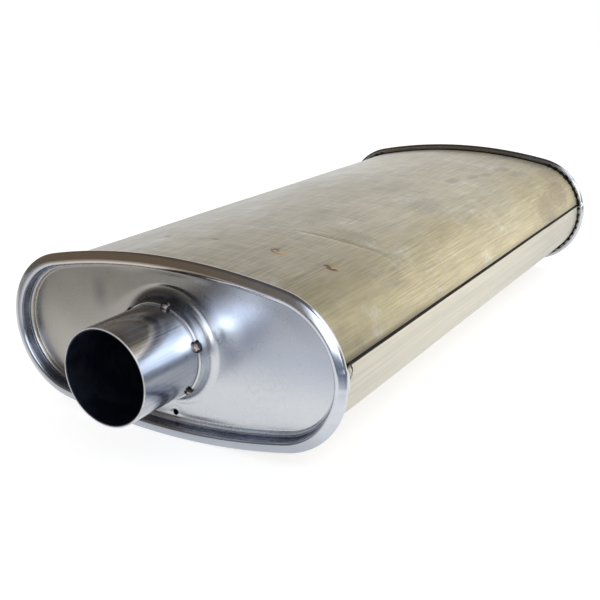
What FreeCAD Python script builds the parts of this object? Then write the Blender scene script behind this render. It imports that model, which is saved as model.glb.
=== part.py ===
import FreeCAD, Part
import math
import os

# Oval three-pass muffler in aluminised steel: a wrapped shell closed by a lock seam, two stamped end caps
# rolled over the shell's flared lips, two slip-on necks, and three perforated tubes on three baffles.
# The gas axis is Y and the inlet end faces -Y. The lock seam is on the +X side. +Z is up, and the origin
# lies under the middle of the body, on the surface that the rolled rims stand on. Millimetres throughout.

# Body, measured over the wrapped shell
body_width = 247.65
body_height = 107.95
body_length = 497.0
end_radius = 46.0
shell_sheet = 1.2
cap_sheet = 1.5
layer_gap = 0.1

# Rolled rim at each end, its folded flange leaning back by flange_tilt degrees
rim_stand = 5.8
lip_bend = 0.4
flange_tilt = 25.0
hook_clearance = 1.0

# End cap, depths measured behind the rim's front face
step_depth = 6.8
plate_depth = 9.8
wall_bend = 0.5
plate_margin = 0.6
drain_diameter = 4.0
drain_drop = 45.9

# Collars drawn out of the end caps round the necks
collar_proud = 2.8
collar_bend = 3.0
collar_fit = 0.15

# Lock seam of the shell
seam_height = 7.7
seam_lap = 10.0
seam_bend = 1.0
seam_end_gap = 0.4
seam_start = 13.5

# Necks
neck_bore = 58.2
neck_wall = 1.5
neck_proud = 51.7
neck_seat_margin = 2.0
neck_step = 1.5
neck_tail = 12.0

# Core tubes
tube_diameter = 57.15
tube_wall = 1.2
tube_lap = 10.0
tube_fit = 0.1
tube_overhang = 6.0
tube_spacing = 72.0
hole_diameter = 9.0
hole_pitch = 17.0
hole_rows = 6
holes_per_ring = 6

# Baffles, the outer two as deep in the body as end_chamber and the third halfway between them
end_chamber = 76.0
baffle_sheet = 1.2
baffle_flange = 12.0
baffle_bend = 2.0
baffle_fit = 0.1
baffle_collar = 7.0
seam_notch_margin = 1.0
bleed_hole_diameter = 14.0
bleed_hole_height = 33.0

# Spot welds that hold the shell to the inlet end's baffle, above and below
spot_weld_places = (-47.7, -7.2, 42.0, 81.2)
spot_weld_setback = 4.5
spot_weld_radius = 4.0
spot_weld_depth = 0.4

# Tack welds
tack_radius = 3.0
tack_count = 6
tack_first_angle = 15.0
tube_tack_radius = 1.8
tube_tack_count = 3

# Worked out from the sizes above
half_width = body_width / 2
half_height = body_height / 2
half_length = body_length / 2
end_centre = half_width - end_radius
crown_radius = (end_centre**2 + half_height**2 - end_radius**2) / (2 * (half_height - end_radius))
crown_centre = crown_radius - half_height
tangent_angle = math.atan2(crown_centre, end_centre)
rim_width = 2 * cap_sheet + shell_sheet + 2 * layer_gap
rim_half_height = half_height + rim_stand
lip_depth = cap_sheet + layer_gap
lip_corner = lip_depth + shell_sheet + lip_bend
lip_centre = rim_stand - lip_bend
tilt = math.radians(flange_tilt)
flange_length = (lip_centre - (lip_bend + shell_sheet / 2) * math.sin(tilt) - rim_width / 2) / math.cos(tilt)
hook_side = rim_width / 2
hook_length = (rim_stand - hook_clearance - hook_side - hook_side * math.sin(tilt)) / math.cos(tilt)
neck_radius = neck_bore / 2 + neck_wall
neck_seat = plate_depth + cap_sheet + neck_seat_margin
neck_end = neck_seat + neck_step + neck_tail
tube_radius = tube_diameter / 2
front_face = -half_length
return_offset = tube_spacing
outlet_offset = -tube_spacing
baffle_places = [(end_chamber, -1), (half_length, -1), (body_length - end_chamber, 1)]


def point(x, y, z):
    """A place in the part's frame."""
    return FreeCAD.Vector(x, y, z)


def oval_arcs():
    """The shell's outer outline: each arc's centre x and z, radius, start angle and sweep."""
    side_sweep = 2 * tangent_angle
    crown_sweep = math.pi - 2 * tangent_angle
    return [
        (end_centre, 0.0, end_radius, -tangent_angle, side_sweep),
        (0.0, -crown_centre, crown_radius, tangent_angle, crown_sweep),
        (-end_centre, 0.0, end_radius, math.pi - tangent_angle, side_sweep),
        (0.0, crown_centre, crown_radius, math.pi + tangent_angle, crown_sweep),
    ]


def oval_face(inset, y):
    """A flat face inside the shell's outline moved inwards by inset, at station y."""
    edges = []
    for x, z, radius, start, sweep in oval_arcs():
        ring = radius - inset
        spots = []
        for share in (0.0, 0.5, 1.0):
            angle = start + share * sweep
            spots.append(point(x + ring * math.cos(angle), y, z + ring * math.sin(angle)))
        edges.append(Part.Arc(*spots).toShape())
    return Part.Face(Part.Wire(edges))


def bend(centre, radius, start, sweep):
    """One arc of a sheet's middle line. Angles are in radians, and a positive sweep turns left."""
    return ("bend", centre, radius, start, sweep)


def run(start, end):
    """One straight run of a sheet's middle line."""
    return ("run", start, end)


def side_spots(piece, shift):
    """The points of one piece of a middle line, moved to its left by shift."""
    if piece[0] == "run":
        (a0, b0), (a1, b1) = piece[1:]
        length = math.hypot(a1 - a0, b1 - b0)
        across, along = -(b1 - b0) / length * shift, (a1 - a0) / length * shift
        return [(a0 + across, b0 + along), (a1 + across, b1 + along)]
    (a, b), radius, start, sweep = piece[1:]
    ring = radius - math.copysign(shift, shift * sweep)
    angles = [start + share * sweep for share in (0.0, 0.5, 1.0)]
    return [(a + ring * math.cos(angle), b + ring * math.sin(angle)) for angle in angles]


def sheet_section(pieces, thickness, place):
    """The cross-section of a bent sheet as a face. place turns a flat point into a place in the frame."""
    near = [side_spots(piece, thickness / 2) for piece in pieces]
    far = [side_spots(piece, -thickness / 2)[::-1] for piece in reversed(pieces)]
    outline = near + [[near[-1][-1], far[0][0]]] + far + [[far[-1][-1], near[0][0]]]
    edges = []
    for spots in outline:
        places = [place(a, b) for a, b in spots]
        curve = Part.Arc(*places) if len(places) == 3 else Part.LineSegment(*places)
        edges.append(curve.toShape())
    return Part.Face(Part.Wire(edges))


def joined(shapes):
    """Several touching solids as one, without the seams between them."""
    return shapes[0].multiFuse(shapes[1:]).removeSplitter()


def only_solid(shape):
    """The one solid that a shape holds."""
    return shape.Solids[0] if len(shape.Solids) == 1 else shape


def swept_round(pieces, thickness, outline_inset):
    """A bent sheet carried round the oval. Its section's first axis runs inwards from the outline."""
    parts = []
    for x, z, radius, start, sweep in oval_arcs():
        ring = radius - outline_inset

        def place(inwards, depth):
            reach = ring - inwards
            return point(x + reach * math.cos(start), front_face + depth, z + reach * math.sin(start))

        section = sheet_section(pieces, thickness, place)
        parts.append(section.revolve(point(x, 0, z), point(0, -1, 0), math.degrees(sweep)))
    return joined(parts)


def spun_collar(x, rim, plate, end, thickness, corner, skirt):
    """A collar drawn out of a plate round an axis at x, from the plate's middle depth to its cut end.

    rim is the collar's inner radius, corner the bend's inner radius and skirt the plate left round it.
    """
    middle = rim + thickness / 2
    radius = corner + thickness / 2
    turn = math.copysign(1.0, plate - end)
    foot = middle + radius + skirt
    pieces = [
        run((foot, plate), (middle + radius, plate)),
        bend((middle + radius, plate - turn * radius), radius, turn * math.pi / 2, turn * math.pi / 2),
        run((middle, plate - turn * radius), (middle, end)),
    ]
    section = sheet_section(pieces, thickness, lambda reach, depth: point(x + reach, front_face + depth, 0))
    return section.revolve(point(x, 0, 0), point(0, 1, 0), 360), foot


def tube_between(x, outer, wall, start, end):
    """A plain tube along Y between two depths."""
    base = point(x, front_face + start, 0)
    along = point(0, 1, 0)
    skin = Part.makeCylinder(outer, end - start, base, along)
    return skin.cut(Part.makeCylinder(outer - wall, end - start, base, along))


def mirrored(shape):
    """The same form at the outlet end."""
    return shape.mirror(point(0, 0, 0), point(0, 1, 0))


def seam_layer(count):
    """The middle line's radius of the seam's layers, counted inwards from the outer one."""
    return end_radius - count * (shell_sheet + layer_gap) - shell_sheet / 2


def on_end_arc(radius, angle):
    """A flat point about the centre of the shell's +X end."""
    return (end_centre + radius * math.cos(angle), radius * math.sin(angle))


def lock_seam_line():
    """The shell's whole middle line, from one hook of the lock seam round the oval to the other."""
    centre = (end_centre, 0.0)
    layer = shell_sheet + layer_gap
    fold_reach = layer + shell_sheet / 2
    bend_radius = seam_bend + shell_sheet / 2
    bend_reach = bend_radius + shell_sheet / 2
    inner_ring = seam_layer(3) + bend_radius
    outer_ring = seam_layer(0) - bend_radius
    groove = math.asin(seam_height / end_radius)
    strip_low = math.asin((seam_height - seam_lap) / end_radius)
    fold_angle = groove - (fold_reach + layer_gap / 2) / outer_ring
    out_angle = groove + (bend_reach + layer_gap / 2) / outer_ring
    spread = (inner_ring**2 + outer_ring**2 - 4 * bend_radius**2) / (2 * inner_ring * outer_ring)
    in_angle = out_angle - math.acos(spread)
    hook_angle = strip_low + fold_reach / seam_layer(2)
    end_slack = seam_end_gap / seam_layer(2)
    inner_bend = on_end_arc(inner_ring, in_angle)
    outer_bend = on_end_arc(outer_ring, out_angle)
    rise = math.atan2(outer_bend[1] - inner_bend[1], outer_bend[0] - inner_bend[0])
    tongue = fold_angle - end_slack
    pieces = [
        bend(centre, seam_layer(1), tongue, hook_angle - tongue),
        bend(on_end_arc(seam_layer(2), hook_angle), layer, hook_angle, -math.pi),
        bend(centre, seam_layer(3), hook_angle, in_angle - hook_angle),
        bend(inner_bend, bend_radius, in_angle + math.pi, rise - in_angle - math.pi),
        bend(outer_bend, bend_radius, rise - math.pi, out_angle - rise + math.pi),
        bend(centre, seam_layer(0), out_angle, tangent_angle - out_angle),
    ]
    for x, z, radius, start, sweep in oval_arcs()[1:]:
        pieces.append(bend((x, z), radius - shell_sheet / 2, start, sweep))
    pieces += [
        bend(centre, seam_layer(0), -tangent_angle, fold_angle + tangent_angle),
        bend(on_end_arc(seam_layer(1), fold_angle), layer, fold_angle, math.pi),
        bend(centre, seam_layer(2), fold_angle, hook_angle + end_slack - fold_angle),
    ]
    return pieces


def spot_dents():
    """Shallow dimples that the spot welds leave over the inlet end's baffle."""
    ball = (spot_weld_radius**2 + spot_weld_depth**2) / (2 * spot_weld_depth)
    y = front_face + end_chamber - spot_weld_setback
    reach = crown_radius + ball - spot_weld_depth
    dents = []
    for x in spot_weld_places:
        z = math.sqrt(reach**2 - x**2) - crown_centre
        dents.append(Part.makeSphere(ball, point(x, y, z)))
        dents.append(Part.makeSphere(ball, point(x, y, -z)))
    return Part.makeCompound(dents)


def on_flange(rise, reach):
    """A section point of the leaning flange, as its rise from the bend's centre and its reach outwards."""
    inwards = lip_centre - rise * math.sin(tilt) - reach * math.cos(tilt)
    depth = lip_corner - rise * math.cos(tilt) + reach * math.sin(tilt)
    return (inwards, depth)


def outer_shell():
    """The wrapped shell: one bent sheet hooked into itself, with a flared lip at each end."""
    section = sheet_section(lock_seam_line(), shell_sheet, lambda x, z: point(x, front_face + seam_start, z))
    wrap = section.extrude(point(0, body_length - 2 * seam_start, 0))
    radius = lip_bend + shell_sheet / 2
    wall_line = rim_stand + shell_sheet / 2
    lip = [
        run(on_flange(radius, flange_length), on_flange(radius, 0.0)),
        bend((lip_centre, lip_corner), radius, -math.pi / 2 - tilt, math.pi / 2 + tilt),
        run((wall_line, lip_corner), (wall_line, seam_start)),
    ]
    end_ring = swept_round(lip, shell_sheet, -rim_stand)
    return joined([wrap, end_ring, mirrored(end_ring)]).cut(spot_dents())


def drilled(plate, x, z, radius):
    """The plate with a round hole right through it along Y."""
    return plate.cut(Part.makeCylinder(radius, body_length, point(x, front_face, z), point(0, 1, 0)))


def end_cap(collar_place):
    """A stamped cap at the -Y end: rolled rim, stepped wall, flat plate with a drain hole, and a collar."""
    roll = (rim_width - cap_sheet) / 2
    fold_rise = lip_bend + shell_sheet / 2
    hook_rise = fold_rise - roll
    wall_line = rim_stand + shell_sheet + layer_gap + cap_sheet / 2
    corner = wall_line - lip_centre
    radius = wall_bend + cap_sheet / 2
    step_top = step_depth + cap_sheet / 2 - radius
    step_line = wall_line + 2 * radius
    plate_line = plate_depth + cap_sheet / 2
    plate_start = step_line + radius + plate_margin
    pieces = [
        run(on_flange(hook_rise, flange_length - hook_length), on_flange(hook_rise, flange_length)),
        bend(on_flange(fold_rise, flange_length), roll, math.pi / 2 - tilt, math.pi),
        run(on_flange(corner, flange_length), on_flange(corner, 0.0)),
        bend((lip_centre, lip_corner), corner, -math.pi / 2 - tilt, math.pi / 2 + tilt),
        run((wall_line, lip_corner), (wall_line, step_top)),
        bend((wall_line + radius, step_top), radius, math.pi, -math.pi / 2),
        bend((wall_line + radius, step_top + 2 * radius), radius, -math.pi / 2, math.pi / 2),
        run((step_line, step_top + 2 * radius), (step_line, plate_line - radius)),
        bend((step_line + radius, plate_line - radius), radius, math.pi, -math.pi / 2),
        run((step_line + radius, plate_line), (plate_start, plate_line)),
    ]
    rim = swept_round(pieces, cap_sheet, -rim_stand)
    collar, foot = spun_collar(
        collar_place,
        neck_radius + collar_fit,
        plate_line,
        -collar_proud,
        cap_sheet,
        collar_bend,
        plate_margin,
    )
    plate = oval_face(plate_start - rim_stand, front_face + plate_depth).extrude(point(0, cap_sheet, 0))
    plate = drilled(plate, collar_place, 0.0, foot)
    plate = drilled(plate, 0.0, -drain_drop, drain_diameter / 2)
    return joined([rim, plate, collar])


def neck(x):
    """A slip-on neck at the -Y end. Its swaged tail stops the pipe and holds the core tube."""
    bore = neck_bore / 2
    tail_bore = tube_radius + tube_fit
    profile = [
        (bore, -neck_proud),
        (neck_radius, -neck_proud),
        (neck_radius, neck_seat),
        (tail_bore + neck_wall, neck_seat + neck_step),
        (tail_bore + neck_wall, neck_end),
        (tail_bore, neck_end),
        (tail_bore, neck_seat + neck_step),
        (bore, neck_seat),
    ]
    corners = [point(x + reach, front_face + depth, 0) for reach, depth in profile]
    section = Part.Face(Part.makePolygon(corners + corners[:1]))
    return section.revolve(point(x, 0, 0), point(0, 1, 0), 360)


def perforated(tube, x, first_ring):
    """The tube with staggered rings of round holes, starting at a depth."""
    cutters = []
    step = 360.0 / holes_per_ring
    for ring in range(hole_rows):
        depth = first_ring + ring * hole_pitch
        for count in range(holes_per_ring // 2):
            angle = math.radians(step * (count + 0.5 * (ring % 2)))
            along = point(math.cos(angle), 0, math.sin(angle))
            centre = point(x, front_face + depth, 0)
            base = centre - along * tube_diameter
            cutters.append(Part.makeCylinder(hole_diameter / 2, 2 * tube_diameter, base, along))
    return tube.cut(Part.makeCompound(cutters))


def core_tube(x, start, end, first_ring):
    """One of the three perforated tubes."""
    return perforated(tube_between(x, tube_radius, tube_wall, start, end), x, first_ring)


def seam_clearance():
    """A block along the shell's inner side that leaves room for the lock seam."""
    deep = 4 * (shell_sheet + layer_gap) + seam_notch_margin
    low = seam_height - seam_lap - seam_notch_margin
    high = seam_height + 2 * (seam_bend + shell_sheet) + seam_notch_margin
    corner = point(half_width - deep, -half_length, low)
    return Part.makeBox(2 * deep, body_length, high - low, corner)


def baffle(place, facing):
    """A pressed baffle whose rim flange and tube collars point along facing, -1 towards the inlet."""
    line = shell_sheet + baffle_fit + baffle_sheet / 2
    radius = baffle_bend + baffle_sheet / 2
    skirt = line + radius + plate_margin
    side = place + facing * radius
    pieces = [
        run((line, place + facing * baffle_flange), (line, side)),
        bend((line + radius, side), radius, math.pi, facing * math.pi / 2),
        run((line + radius, place), (skirt, place)),
    ]
    rim = swept_round(pieces, baffle_sheet, 0.0)
    back = front_face + place - baffle_sheet / 2
    plate = oval_face(skirt, back).extrude(point(0, baffle_sheet, 0))
    collars = []
    for x in (0.0, return_offset, outlet_offset):
        collar_end = place + facing * baffle_collar
        hub = tube_radius + baffle_fit
        collar, foot = spun_collar(x, hub, place, collar_end, baffle_sheet, baffle_sheet, plate_margin)
        plate = drilled(plate, x, 0.0, foot)
        collars.append(collar)
    for x in (return_offset / 2, outlet_offset / 2):
        for z in (bleed_hole_height, -bleed_hole_height):
            plate = drilled(plate, x, z, bleed_hole_diameter / 2)
    return joined([rim, plate] + collars).cut(seam_clearance())


def beads(x, hub, collar, edge, facing, size, count, first_angle):
    """Weld beads round an axis at x, each in the corner between a pipe and the cut edge of its collar.

    hub and collar are the two outer radii, and facing is -1 where the collar points towards the inlet.
    """
    along = point(0, 1, 0)
    back = edge if facing < 0 else edge - 2 * size
    shaft = Part.makeCylinder(hub, 4 * size, point(x, front_face + edge - 2 * size, 0), along)
    seat = shaft.fuse(Part.makeCylinder(collar, 2 * size, point(x, front_face + back, 0), along))
    ring = (hub + collar) / 2
    found = []
    for number in range(count):
        angle = math.radians(first_angle + number * 360.0 / count)
        outwards = point(math.cos(angle), 0, math.sin(angle))
        bead = Part.makeSphere(size, point(x, front_face + edge, 0) + outwards * ring, outwards)
        found.append(bead.cut(seat))
    return found


def neck_tacks(x):
    """The tack welds between a collar's cut edge and its neck, at the -Y end."""
    collar = neck_radius + collar_fit + cap_sheet
    return beads(x, neck_radius, collar, -collar_proud, -1, tack_radius, tack_count, tack_first_angle)


def tube_tacks(x):
    """The tack welds between one core tube and the collars of the baffles that carry it."""
    found = []
    collar = tube_radius + baffle_fit + baffle_sheet
    for place, facing in baffle_places:
        edge = place + facing * baffle_collar
        found += beads(x, tube_radius, collar, edge, facing, tube_tack_radius, tube_tack_count, 90.0)
    return found


def build():
    """Every node of the part, by name, with the oval's centre at height 0."""
    tube_start = neck_end - tube_lap
    front_open = end_chamber - tube_overhang - baffle_collar
    rear_open = body_length - front_open
    hole_zone = (hole_rows - 1) * hole_pitch
    front_zone = (end_chamber + half_length - hole_zone) / 2
    rear_zone = front_zone + half_length - end_chamber
    nodes = {
        "outer_shell": outer_shell(),
        "inlet_cap": end_cap(0.0),
        "outlet_cap": mirrored(end_cap(outlet_offset)),
        "inlet_neck": neck(0.0),
        "outlet_neck": mirrored(neck(outlet_offset)),
        "inlet_tube": core_tube(0.0, tube_start, rear_open, front_zone),
        "return_tube": core_tube(return_offset, front_open, rear_open, rear_zone),
        "outlet_tube": core_tube(outlet_offset, front_open, body_length - tube_start, rear_zone),
    }
    for name, (place, facing) in zip(("front_baffle", "middle_baffle", "rear_baffle"), baffle_places):
        nodes[name] = baffle(place, facing)
    nodes["inlet_tack_welds"] = neck_tacks(0.0)
    nodes["outlet_tack_welds"] = [mirrored(bead) for bead in neck_tacks(outlet_offset)]
    for name, x in (("inlet_tube", 0.0), ("return_tube", return_offset), ("outlet_tube", outlet_offset)):
        nodes[name + "_welds"] = tube_tacks(x)
    return nodes


def export(nodes):
    """Writes one STEP file for each node, standing on its rims."""
    os.makedirs("parts", exist_ok=True)
    for name, shape in nodes.items():
        shape = Part.makeCompound(shape) if isinstance(shape, list) else only_solid(shape)
        shape = shape.copy()
        shape.translate(point(0, 0, rim_half_height))
        shape.exportStep("parts/" + name + ".step")
        state = "valid" if shape.isValid() else "BAD"
        print(name, len(shape.Solids), "solids", round(shape.Volume), "mm3", state)


export(build())
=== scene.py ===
"""Looks of an oval muffler with a lock-seamed shell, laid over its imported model.

Sizes in the classes are millimetres in the part's own frame: the gas axis is Y, the inlet end faces -Y,
the lock seam is on the +X side and +Z is up. Depth is measured behind the front face of an end's rim.
The finishes are painted by object coordinates, which are in metres.
"""

from __future__ import annotations

import logging
import math
from collections.abc import Callable, Sequence
from dataclasses import dataclass, field
from enum import Enum

import bmesh
import bpy
import numpy as np
from mathutils import Matrix, Vector

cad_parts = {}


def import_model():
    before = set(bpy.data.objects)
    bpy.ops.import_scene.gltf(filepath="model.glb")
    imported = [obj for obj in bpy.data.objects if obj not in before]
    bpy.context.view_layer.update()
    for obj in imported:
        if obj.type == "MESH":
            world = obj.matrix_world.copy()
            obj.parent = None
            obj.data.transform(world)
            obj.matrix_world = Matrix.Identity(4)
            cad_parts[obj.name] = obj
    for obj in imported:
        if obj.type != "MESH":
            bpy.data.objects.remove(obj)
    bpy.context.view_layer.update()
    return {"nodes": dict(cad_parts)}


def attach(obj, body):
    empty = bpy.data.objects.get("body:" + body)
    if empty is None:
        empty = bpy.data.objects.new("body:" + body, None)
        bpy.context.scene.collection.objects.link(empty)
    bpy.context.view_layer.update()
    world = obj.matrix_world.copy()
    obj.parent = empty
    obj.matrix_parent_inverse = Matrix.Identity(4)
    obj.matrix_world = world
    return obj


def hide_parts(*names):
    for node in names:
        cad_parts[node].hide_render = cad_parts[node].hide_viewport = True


LOG = logging.getLogger("muffler")
MM = 0.001
OUTLET_PLACE = -72.0
BALL_CUTS = 4

Spots = list[tuple[float, float]]
Colour = tuple[float, float, float]
Triple = tuple[float, float, float]
Mesh = bpy.types.Mesh
Piece = bpy.types.Object
Palette = dict[str, bpy.types.Material]


class End(Enum):
    """Which end of the body a piece sits on, by the sign of its side on the Y axis."""

    INLET = -1.0
    OUTLET = 1.0


class Zone(Enum):
    """How a point of a cap's section is carried round the body."""

    RIM = 0
    PLATE = 1
    COLLAR = 2


# Sizes shared by several pieces


@dataclass(frozen=True)
class Body:
    """Main sizes of the body, measured over the wrapped shell."""

    width: float = 247.65
    height: float = 107.95
    length: float = 497.0
    end_radius: float = 46.0
    shell_sheet: float = 1.2
    cap_sheet: float = 1.5
    layer_gap: float = 0.1
    rim_stand: float = 5.8
    lip_bend: float = 0.4
    flange_tilt: float = 25.0
    hook_clearance: float = 1.0
    seam_height: float = 7.7
    seam_lap: float = 10.0
    side_start: float = 88.0
    collar_proud: float = 2.8

    @property
    def end_centre(self) -> float:
        """Distance from the middle to the centre of an end arc."""
        return self.width / 2 - self.end_radius

    @property
    def crown_radius(self) -> float:
        """Radius of the two flat arcs above and below."""
        half = self.height / 2
        return (self.end_centre**2 + half**2 - self.end_radius**2) / (2 * (half - self.end_radius))

    @property
    def crown_centre(self) -> float:
        """Distance of a crown's centre beyond the middle."""
        return self.crown_radius - self.height / 2

    @property
    def tangent(self) -> float:
        """Angle at which an end arc meets a crown."""
        return math.atan2(self.crown_centre, self.end_centre)

    @property
    def centre_height(self) -> float:
        """Height of the gas axis above the ground."""
        return self.height / 2 + self.rim_stand

    @property
    def rim_width(self) -> float:
        """Thickness of the folded rim, across its leaning flange."""
        return 2 * self.cap_sheet + self.shell_sheet + 2 * self.layer_gap

    @property
    def lean(self) -> float:
        """The flange's lean in radians."""
        return math.radians(self.flange_tilt)

    @property
    def lip_corner(self) -> tuple[float, float]:
        """Centre of the bend between wall and flange, as distance inwards from the rim and depth."""
        depth = self.cap_sheet + self.layer_gap + self.shell_sheet + self.lip_bend
        return (self.rim_stand - self.lip_bend, depth)

    @property
    def flange_length(self) -> float:
        """Length of the shell's flange past its bend."""
        bend = (self.lip_bend + self.shell_sheet / 2) * math.sin(self.lean)
        return (self.lip_corner[0] - bend - self.rim_width / 2) / math.cos(self.lean)

    @property
    def hook_length(self) -> float:
        """Length of the cap's hook behind the flange."""
        side = self.rim_width / 2
        room = self.rim_stand - self.hook_clearance - side
        return (room - side * math.sin(self.lean)) / math.cos(self.lean)

    def on_flange(self, rise: float, reach: float) -> tuple[float, float]:
        """A section point of the flange, by its rise from the bend's centre and its reach outwards."""
        inwards, depth = self.lip_corner
        inwards -= rise * math.sin(self.lean) + reach * math.cos(self.lean)
        return (inwards, depth - rise * math.cos(self.lean) + reach * math.sin(self.lean))

    def world(self, x: np.ndarray, depth: np.ndarray | float, z: np.ndarray, end: End) -> np.ndarray:
        """Places in metres from sizes about the gas axis.

        Args:
            x: Distances across.
            depth: Distances behind the rim face of the end.
            z: Heights above the gas axis.
            end: The end that depth is measured from.

        Returns:
            An array of the same shape with a last axis of three.
        """
        y = end.value * (self.length / 2 - depth)
        return np.stack(np.broadcast_arrays(x, y, z + self.centre_height), axis=-1) * MM


@dataclass(frozen=True)
class Fine:
    """A stretch of the outline that gets closer stations."""

    middle: float
    half: float
    step: float


@dataclass(frozen=True)
class Ring:
    """Stations round the body: distance from the seam, place and outward direction of each."""

    along: np.ndarray
    x: np.ndarray
    z: np.ndarray
    out_x: np.ndarray
    out_z: np.ndarray

    def moved(self, stand: np.ndarray | float) -> tuple[np.ndarray, np.ndarray]:
        """The stations' x and z after a step outwards."""
        return self.x + self.out_x * stand, self.z + self.out_z * stand

    def outwards(self) -> np.ndarray:
        """The outward directions in space."""
        return np.stack([self.out_x, 0 * self.out_x, self.out_z], axis=-1)


@dataclass(frozen=True)
class Outline:
    """The shell's oval, walked from the seam upwards and once round."""

    body: Body
    growth: float = 0.6
    tiny: float = 1e-9

    def arcs(self) -> list[tuple[float, float, float, float, float]]:
        """Each arc's centre x and z, radius, start angle and sweep."""
        body = self.body
        seam = math.asin(body.seam_height / body.end_radius)
        tangent = body.tangent
        crown = math.pi - 2 * tangent
        return [
            (body.end_centre, 0.0, body.end_radius, seam, tangent - seam),
            (0.0, -body.crown_centre, body.crown_radius, tangent, crown),
            (-body.end_centre, 0.0, body.end_radius, math.pi - tangent, 2 * tangent),
            (0.0, body.crown_centre, body.crown_radius, math.pi + tangent, crown),
            (body.end_centre, 0.0, body.end_radius, -tangent, tangent + seam),
        ]

    def length(self) -> float:
        """Distance once round."""
        return sum(radius * sweep for _, _, radius, _, sweep in self.arcs())

    def walk(self, spacing: float, fine: Sequence[Fine]) -> Ring:
        """Stations round the outline.

        Args:
            spacing: Usual distance between stations.
            fine: Stretches with closer stations, by distance from the seam.

        Returns:
            The stations, starting at the seam.
        """
        total = self.length()
        marks = [0.0]
        while marks[-1] < total:
            here = marks[-1]
            step = spacing
            for zone in fine:
                away = abs((here - zone.middle + total / 2) % total - total / 2)
                if away <= zone.half:
                    step = min(step, zone.step)
                elif away - zone.half < step:
                    step = min(step, max(zone.step, (away - zone.half) * self.growth))
            marks.append(here + step)
        return self.at(np.array(marks[:-1]) * total / marks[-1])

    def at(self, along: np.ndarray) -> Ring:
        """The outline at given distances from the seam."""
        total = self.length()
        wrapped = np.mod(along, total)
        x, z, out_x, out_z = (np.zeros_like(wrapped) for _ in range(4))
        start = 0.0
        for arc_x, arc_z, radius, first, sweep in self.arcs():
            here = (wrapped >= start) & (wrapped <= start + radius * sweep + self.tiny)
            angle = first + (wrapped[here] - start) / radius
            out_x[here], out_z[here] = np.cos(angle), np.sin(angle)
            x[here], z[here] = arc_x + radius * out_x[here], arc_z + radius * out_z[here]
            start += radius * sweep
        signed = np.where(wrapped > total / 2, wrapped - total, wrapped)
        return Ring(signed, x, z, out_x, out_z)


@dataclass
class SheetLine:
    """The middle line of a bent sheet, made of straight runs and round bends."""

    thickness: float
    pieces: list[tuple] = field(default_factory=list)
    fineness: float = 0.45
    fewest: int = 3
    nearest: float = 0.01

    def run(self, start: tuple[float, float], end: tuple[float, float]) -> None:
        """Adds a straight run."""
        self.pieces.append((start, end))

    def bend(self, centre: tuple[float, float], radius: float, start: float, sweep: float) -> None:
        """Adds a bend, turning left where the sweep is positive. Angles are radians."""
        self.pieces.append((centre, radius, start, sweep))

    def side(self, sign: float) -> Spots:
        """The points of the sheet's left side (sign 1) or right side (sign -1)."""
        shift = sign * self.thickness / 2
        spots: Spots = []
        for piece in self.pieces:
            if len(piece) == 2:
                (a0, b0), (a1, b1) = piece
                length = math.hypot(a1 - a0, b1 - b0)
                across, along = -(b1 - b0) / length * shift, (a1 - a0) / length * shift
                found = [(a0 + across, b0 + along), (a1 + across, b1 + along)]
            else:
                (a, b), radius, start, sweep = piece
                ring = radius - math.copysign(shift, shift * sweep)
                count = max(self.fewest, math.ceil(abs(sweep) * ring / self.fineness))
                angles = [start + sweep * share / count for share in range(count + 1)]
                found = [(a + ring * math.cos(angle), b + ring * math.sin(angle)) for angle in angles]
            for spot in found:
                if not spots or math.dist(spots[-1], spot) > self.nearest:
                    spots.append(spot)
        return spots


# Mesh helpers


def smooth(value: np.ndarray, low: float, high: float) -> np.ndarray:
    """A soft step from 0 at low to 1 at high."""
    share = np.clip((value - low) / (high - low), 0.0, 1.0)
    return share * share * (3 - 2 * share)


def bump(value: np.ndarray, middle: float, half: float) -> np.ndarray:
    """A soft hump of height 1 about middle."""
    return np.exp(-(((value - middle) / half) ** 2))


def linked(name: str, data: bpy.types.ID) -> Piece:
    """A new object in the scene."""
    piece = bpy.data.objects.new(name, data)
    bpy.context.scene.collection.objects.link(piece)
    return piece


def formed(name: str, spots: list, faces: Sequence = ()) -> Mesh:
    """A mesh from lists of points and faces."""
    mesh = bpy.data.meshes.new(name)
    mesh.from_pydata(spots, [], faces)
    return mesh


def square(name: str, size: float, height: float) -> Mesh:
    """A level square sheet, by its size and height in metres."""
    half = size / 2
    corners = [(-half, -half, height), (half, -half, height), (half, half, height), (-half, half, height)]
    return formed(name, corners, [(0, 1, 2, 3)])


def turned(name: str, operator: Callable, **options: object) -> Mesh:
    """A mesh made by one mesh operator."""
    work = bmesh.new()
    operator(work, **options)
    mesh = bpy.data.meshes.new(name)
    work.to_mesh(mesh)
    work.free()
    return mesh


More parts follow.
